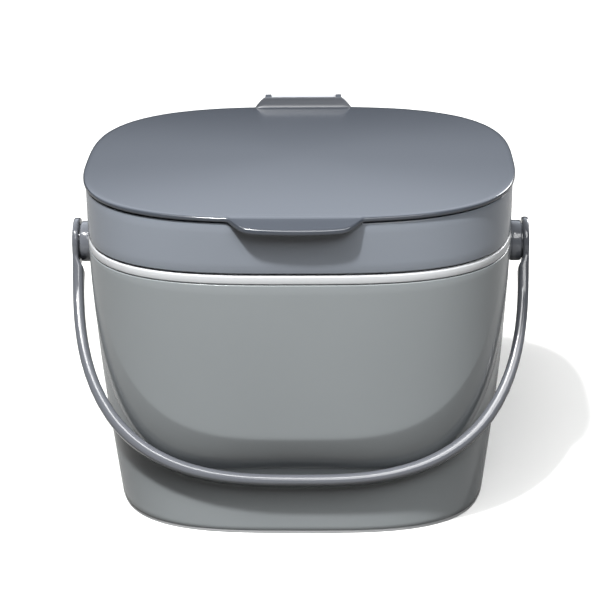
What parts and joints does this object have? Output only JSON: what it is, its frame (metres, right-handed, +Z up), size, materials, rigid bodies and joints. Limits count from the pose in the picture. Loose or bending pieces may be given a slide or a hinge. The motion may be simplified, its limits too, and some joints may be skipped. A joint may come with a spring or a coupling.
{
  "type": "compost caddy with hinged lid",
  "caption": "Charcoal plastic compost caddy with a bowl-shaped front, a hinged lid on a lift-off collar, a light bucket rim and a swinging bail handle.",
  "frame": {"origin": "middle of the footprint on the floor, at the bounding box's bottom centre", "axes": "+Z up, front and thumb tab towards -Y, +X to the right seen from the front"},
  "size_m": [0.254, 0.2176, 0.1937],
  "materials": {
    "shell_plastic": "satin charcoal",
    "collar_plastic": "satin charcoal",
    "lid_plastic": "fine matt charcoal",
    "bucket_plastic": "satin light grey",
    "handle_plastic": "gloss charcoal",
    "boss_plastic": "gloss dark charcoal",
    "bracket_plastic": "satin light grey",
    "foot_rubber": "soft light grey",
    "seal_rubber": "soft grey",
    "steel": "bright"
  },
  "bodies": {
    "bin": {"outer_shell": "shell_plastic", "foot_ring": "foot_rubber", "inner_bucket": "bucket_plastic", "pivot_boss_left": "boss_plastic", "pivot_boss_right": "boss_plastic", "pivot_washer_left": "boss_plastic", "pivot_washer_right": "boss_plastic"},
    "collar": {"lid_collar": "collar_plastic", "collar_seal": "seal_rubber", "hinge_bracket": "bracket_plastic", "hinge_backplate": "steel", "hinge_screws": "steel"},
    "lid": {"lid_cover": "lid_plastic", "lid_inner_panel": "bucket_plastic", "lid_seal": "seal_rubber", "hinge_pin": "steel"},
    "handle": {"bail_handle": "handle_plastic", "pivot_pin_left": "steel", "pivot_pin_right": "steel", "pin_retainer_left": "steel", "pin_retainer_right": "steel"}
  },
  "joints": [
    {"name": "collar_lift", "type": "slide", "parent": "bin", "child": "collar", "axis": [0, 0, 1], "range_m": [0, 0.015]},
    {"name": "lid_hinge", "type": "hinge", "parent": "collar", "child": "lid", "pos_m": [0, 0.1056, 0.1901], "axis": [-1, 0, 0], "range_deg": [0, 100]},
    {"name": "handle_swing", "type": "hinge", "parent": "bin", "child": "handle", "pos_m": [0, 0, 0.139], "axis": [-1, 0, 0], "range_deg": [0, 276]}
  ]
}
